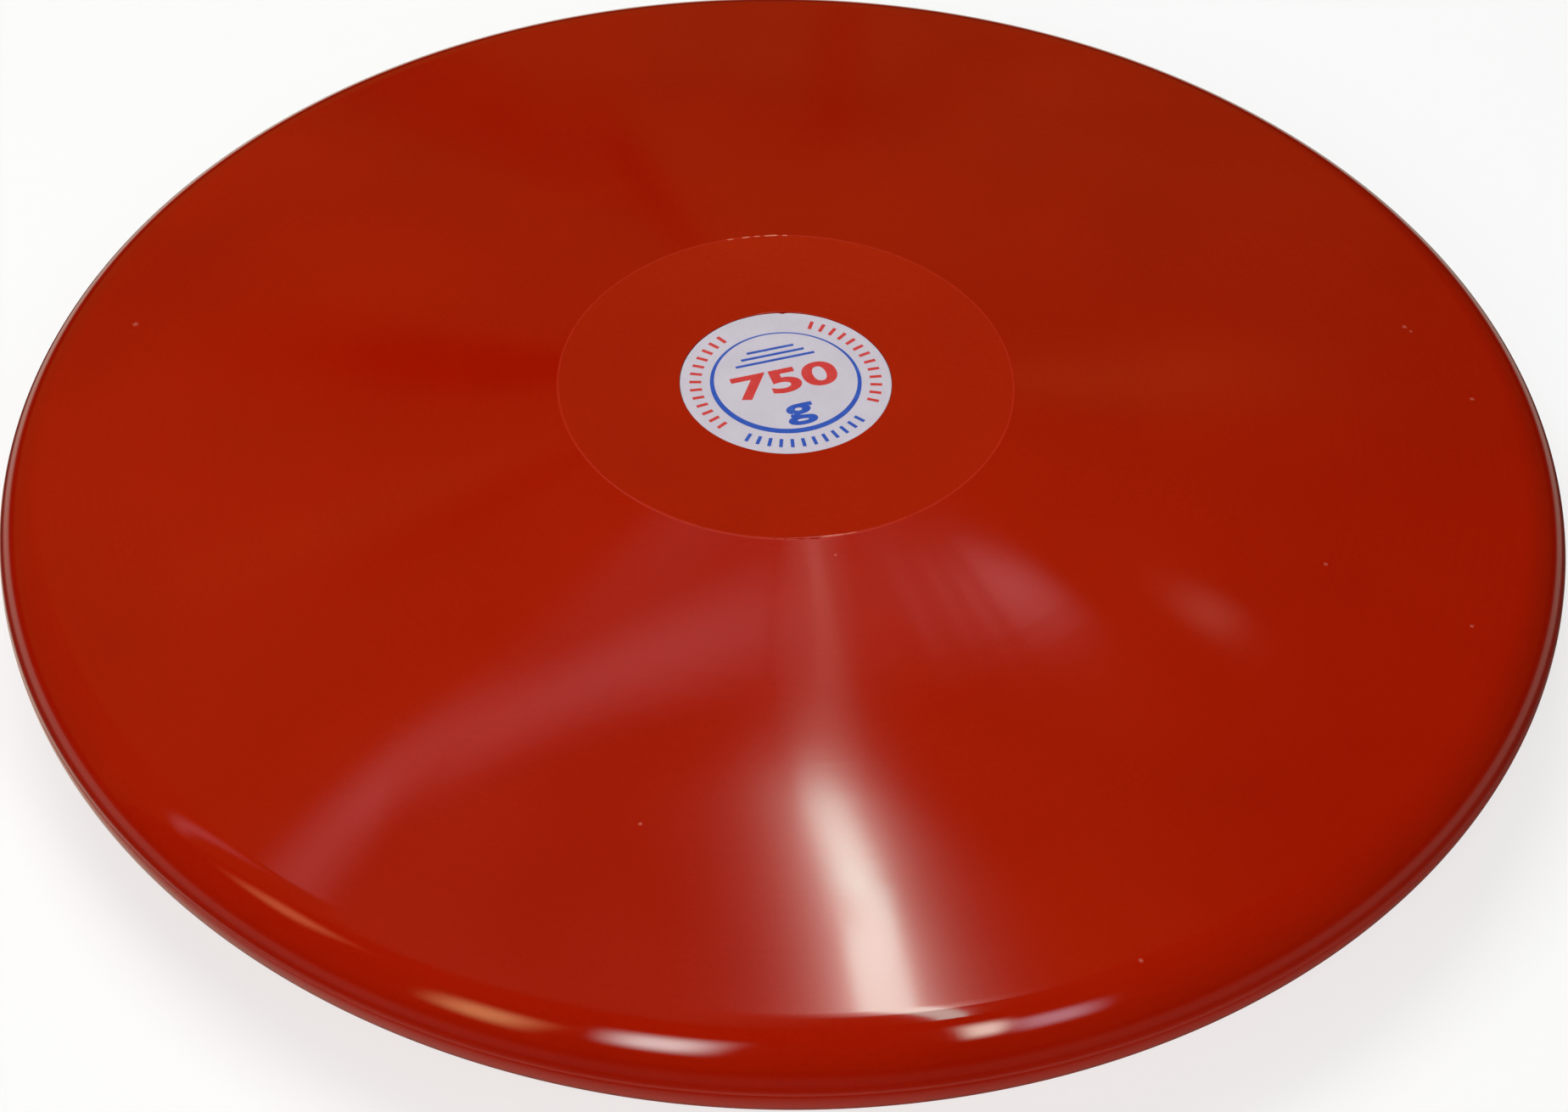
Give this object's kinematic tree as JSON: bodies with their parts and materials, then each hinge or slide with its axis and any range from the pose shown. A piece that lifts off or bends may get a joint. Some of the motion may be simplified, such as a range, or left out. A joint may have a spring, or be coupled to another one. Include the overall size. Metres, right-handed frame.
{
  "type": "discus",
  "caption": "Soft vinyl training discus with flat centre plates, straight conical sides and a full-round rim, weighted inside.",
  "frame": {"origin": "centre of the discus: on its axis, at the rim's parting line, half way between the two flat faces", "axes": "+Z along the discus's axis, out of the upper side; X and Y lie in the plane of the parting line, and +X and +Y are free choices because the discus is round"},
  "size_m": [0.18, 0.18, 0.034],
  "materials": {
    "shell_vinyl": "gloss",
    "plate_vinyl": "gloss",
    "label_film": "satin",
    "core_filling": "matte",
    "ballast_steel": "satin"
  },
  "bodies": {
    "root": {"upper_shell": "shell_vinyl", "lower_shell": "shell_vinyl", "upper_centre_plate": "plate_vinyl", "lower_centre_plate": "plate_vinyl", "upper_label": "label_film", "lower_label": "label_film", "upper_core": "core_filling", "lower_core": "core_filling", "ballast_ring": "ballast_steel", "centre_weight": "ballast_steel"}
  },
  "joints": []
}
